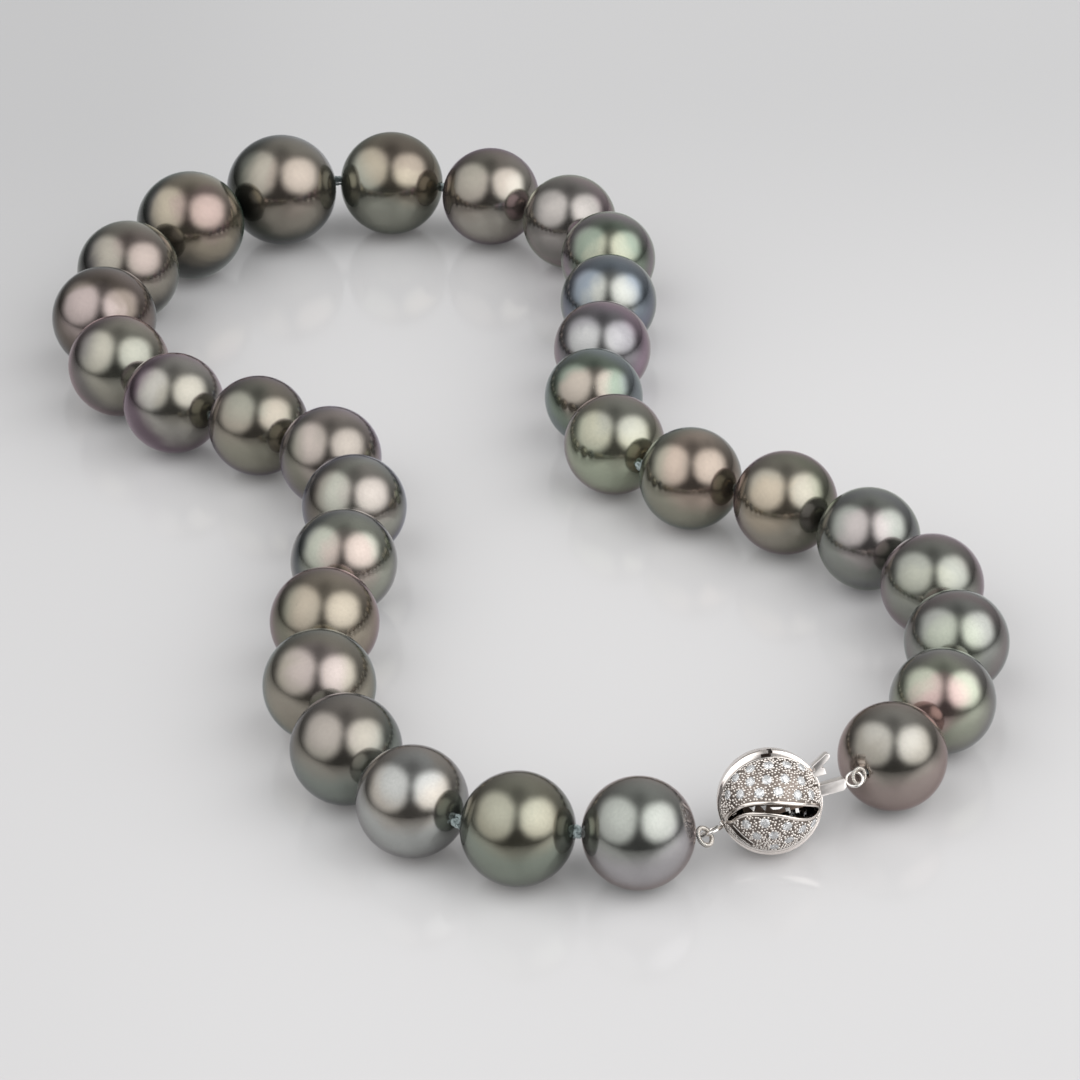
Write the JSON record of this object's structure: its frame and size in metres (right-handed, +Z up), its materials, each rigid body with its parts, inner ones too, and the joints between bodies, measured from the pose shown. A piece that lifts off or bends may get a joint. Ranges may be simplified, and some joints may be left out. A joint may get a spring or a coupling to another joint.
{
  "type": "pearl necklace",
  "caption": "Graduated string of dark round pearls, knotted between each, closed by a stone-set ball clasp with a side thumb lever.",
  "frame": {"origin": "middle of the bounding box in X and Y, on the surface that the pearls rest on", "axes": "+Z up, +Y from the clasp to the large centre pearls, +X to the tongue side of the clasp"},
  "size_m": [0.1164, 0.1784, 0.016],
  "materials": {
    "nacre": "high lustre nacre with rose and green overtones",
    "white_gold": "polished white gold",
    "diamond": "faceted, clear",
    "coiled_wire": "finely wound bright wire"
  },
  "bodies": {
    "clasp_ball": {"clasp_belt": "white_gold", "clasp_front_dome": "white_gold", "clasp_back_dome": "white_gold", "clasp_guide_box": "white_gold", "ring_post": "white_gold", "stones_front_upper": "diamond", "stones_front_lower": "diamond", "stones_back": "diamond"},
    "tongue": {"clasp_tongue": "white_gold", "eye_ring_right": "white_gold"},
    "spring": {"clasp_spring": "white_gold"},
    "bead_01": {"pearl_01": "nacre", "gimp_right": "coiled_wire"},
    "bead_02": {"pearl_02": "nacre"},
    "bead_03": {"pearl_03": "nacre"},
    "bead_04": {"pearl_04": "nacre"},
    "bead_05": {"pearl_05": "nacre"},
    "bead_06": {"pearl_06": "nacre"},
    "bead_07": {"pearl_07": "nacre"},
    "bead_08": {"pearl_08": "nacre"},
    "bead_09": {"pearl_09": "nacre"},
    "bead_10": {"pearl_10": "nacre"},
    "bead_11": {"pearl_11": "nacre"},
    "bead_12": {"pearl_12": "nacre"},
    "bead_13": {"pearl_13": "nacre"},
    "bead_14": {"pearl_14": "nacre"},
    "bead_15": {"pearl_15": "nacre"},
    "bead_16": {"pearl_16": "nacre"},
    "bead_17": {"pearl_17": "nacre"},
    "bead_18": {"pearl_18": "nacre"},
    "bead_19": {"pearl_19": "nacre"},
    "bead_20": {"pearl_20": "nacre"},
    "bead_21": {"pearl_21": "nacre"},
    "bead_22": {"pearl_22": "nacre"},
    "bead_23": {"pearl_23": "nacre"},
    "bead_24": {"pearl_24": "nacre"},
    "bead_25": {"pearl_25": "nacre"},
    "bead_26": {"pearl_26": "nacre"},
    "bead_27": {"pearl_27": "nacre"},
    "bead_28": {"pearl_28": "nacre"},
    "bead_29": {"pearl_29": "nacre"},
    "bead_30": {"pearl_30": "nacre"},
    "bead_31": {"pearl_31": "nacre", "gimp_left": "coiled_wire"},
    "left_ring": {"ring_left": "white_gold"}
  },
  "joints": [
    {"name": "tongue_slide", "type": "slide", "parent": "clasp_ball", "child": "tongue", "axis": [0.9738, 0.1093, 0.1995], "range_m": [0, 0.008]},
    {"name": "spring_press", "type": "hinge", "parent": "tongue", "child": "spring", "pos_m": [0.02705, -0.07851, 0.00469], "axis": [-0.0051, 0.8872, -0.4613], "range_deg": [0, 4.5], "stiffness_Nm_per_rad": 0.02},
    {"name": "link_right", "type": "hinge", "parent": "tongue", "child": "bead_01", "pos_m": [0.0385, -0.07674, 0.00742], "axis": [0.644, -0.7161, -0.2691], "range_deg": [-20, 20]},
    {"name": "knot_01", "type": "hinge", "parent": "bead_01", "child": "bead_02", "pos_m": [0.04626, -0.06667, 0.00525], "axis": [0, 0, 1], "range_deg": [-18, 18]},
    {"name": "knot_02", "type": "hinge", "parent": "bead_02", "child": "bead_03", "pos_m": [0.05177, -0.05567, 0.00586], "axis": [0.9619, -0.2735, 0], "range_deg": [-25, 25]},
    {"name": "knot_03", "type": "hinge", "parent": "bead_03", "child": "bead_04", "pos_m": [0.05289, -0.04317, 0.00594], "axis": [0, 0, -1], "range_deg": [0, 25]},
    {"name": "knot_04", "type": "hinge", "parent": "bead_04", "child": "bead_05", "pos_m": [0.04906, -0.03113, 0.00605], "axis": [-0.8874, -0.461, 0], "range_deg": [-25, 25]},
    {"name": "knot_05", "type": "hinge", "parent": "bead_05", "child": "bead_06", "pos_m": [0.04123, -0.02083, 0.00621], "axis": [0, 0, 1], "range_deg": [-25, 0]},
    {"name": "knot_06", "type": "hinge", "parent": "bead_06", "child": "bead_07", "pos_m": [0.03083, -0.0128, 0.00629], "axis": [0.5655, 0.8248, 0], "range_deg": [-25, 25]},
    {"name": "knot_07", "type": "hinge", "parent": "bead_07", "child": "bead_08", "pos_m": [0.01938, -0.00587, 0.00631], "axis": [0, 0, -1], "range_deg": [0, 9]},
    {"name": "knot_08", "type": "hinge", "parent": "bead_08", "child": "bead_09", "pos_m": [0.01353, 0.00642, 0.00632], "axis": [-0.9862, -0.1658, 0], "range_deg": [-25, 25]},
    {"name": "knot_09", "type": "hinge", "parent": "bead_09", "child": "bead_10", "pos_m": [0.01503, 0.01984, 0.00635], "axis": [0, 0, 1], "range_deg": [-25, 0]},
    {"name": "knot_10", "type": "hinge", "parent": "bead_10", "child": "bead_11", "pos_m": [0.01654, 0.0334, 0.00645], "axis": [0.9933, -0.1152, 0], "range_deg": [-25, 25]},
    {"name": "knot_11", "type": "hinge", "parent": "bead_11", "child": "bead_12", "pos_m": [0.01819, 0.0471, 0.00654], "axis": [0, 0, -1], "range_deg": [0, 25]},
    {"name": "knot_12", "type": "hinge", "parent": "bead_12", "child": "bead_13", "pos_m": [0.01717, 0.061, 0.00662], "axis": [-0.9337, -0.358, 0], "range_deg": [-25, 25]},
    {"name": "knot_13", "type": "hinge", "parent": "bead_13", "child": "bead_14", "pos_m": [0.00836, 0.07238, 0.00684], "axis": [0, 0, 1], "range_deg": [-2.58, 0]},
    {"name": "knot_14", "type": "hinge", "parent": "bead_14", "child": "bead_15", "pos_m": [-0.00479, 0.07987, 0.00724], "axis": [0.358, 0.9337, 0], "range_deg": [-25, 25]},
    {"name": "knot_15", "type": "hinge", "parent": "bead_15", "child": "bead_16", "pos_m": [-0.02058, 0.08331, 0.00773], "axis": [0, 0, -1], "range_deg": [0, 25]},
    {"name": "knot_16", "type": "hinge", "parent": "bead_16", "child": "bead_17", "pos_m": [-0.03623, 0.07657, 0.00784], "axis": [0.6118, -0.791, 0], "range_deg": [0, 1.86]},
    {"name": "knot_17", "type": "hinge", "parent": "bead_17", "child": "bead_18", "pos_m": [-0.04624, 0.06369, 0.0074], "axis": [0, 0, 1], "range_deg": [-0.49, 0]},
    {"name": "knot_18", "type": "hinge", "parent": "bead_18", "child": "bead_19", "pos_m": [-0.05169, 0.04972, 0.00708], "axis": [-0.9892, 0.1463, 0], "range_deg": [-25, 25]},
    {"name": "knot_19", "type": "hinge", "parent": "bead_19", "child": "bead_20", "pos_m": [-0.05053, 0.0349, 0.00688], "axis": [0, 0, -1], "range_deg": [0, 25]},
    {"name": "knot_20", "type": "hinge", "parent": "bead_20", "child": "bead_21", "pos_m": [-0.04527, 0.0217, 0.00661], "axis": [0.8061, 0.5918, 0], "range_deg": [-25, 25]},
    {"name": "knot_21", "type": "hinge", "parent": "bead_21", "child": "bead_22", "pos_m": [-0.0346, 0.01302, 0.00646], "axis": [0, 0, 1], "range_deg": [-25, 0]},
    {"name": "knot_22", "type": "hinge", "parent": "bead_22", "child": "bead_23", "pos_m": [-0.02265, 0.00653, 0.0064], "axis": [-0.7069, -0.7074, 0], "range_deg": [-25, 25]},
    {"name": "knot_23", "type": "hinge", "parent": "bead_23", "child": "bead_24", "pos_m": [-0.01611, -0.00551, 0.00639], "axis": [0, 0, -1], "range_deg": [0, 10]},
    {"name": "knot_24", "type": "hinge", "parent": "bead_24", "child": "bead_25", "pos_m": [-0.01583, -0.01898, 0.00635], "axis": [0.9977, -0.0678, 0], "range_deg": [-25, 25]},
    {"name": "knot_25", "type": "hinge", "parent": "bead_25", "child": "bead_26", "pos_m": [-0.01791, -0.03218, 0.00632], "axis": [0, 0, 1], "range_deg": [-25, 0]},
    {"name": "knot_26", "type": "hinge", "parent": "bead_26", "child": "bead_27", "pos_m": [-0.01949, -0.04561, 0.00632], "axis": [-1, 0.0079, 0], "range_deg": [-25, 25]},
    {"name": "knot_27", "type": "hinge", "parent": "bead_27", "child": "bead_28", "pos_m": [-0.01811, -0.05911, 0.00622], "axis": [0, 0, -1], "range_deg": [0, 25]},
    {"name": "knot_28", "type": "hinge", "parent": "bead_28", "child": "bead_29", "pos_m": [-0.01301, -0.07109, 0.00604], "axis": [0.8166, 0.5772, 0], "range_deg": [-25, 25]},
    {"name": "knot_29", "type": "hinge", "parent": "bead_29", "child": "bead_30", "pos_m": [-0.00362, -0.07972, 0.00602], "axis": [0, 0, 1], "range_deg": [-25, 0]},
    {"name": "knot_30", "type": "hinge", "parent": "bead_30", "child": "bead_31", "pos_m": [0.00876, -0.08324, 0.00648], "axis": [-0.1366, -0.9906, 0], "range_deg": [-18, 0]},
    {"name": "link_left", "type": "hinge", "parent": "bead_31", "child": "left_ring", "pos_m": [0.02237, -0.08151, 0.00427], "axis": [0.5074, -0.4621, -0.7273], "range_deg": [-20, 8]}
  ],
  "couplings": [
    {"joint": "knot_13", "follows": "tongue_slide", "rad_per_m": -5.5116},
    {"joint": "knot_16", "follows": "tongue_slide", "rad_per_m": 3.9681},
    {"joint": "knot_17", "follows": "tongue_slide", "rad_per_m": -1.0406}
  ]
}
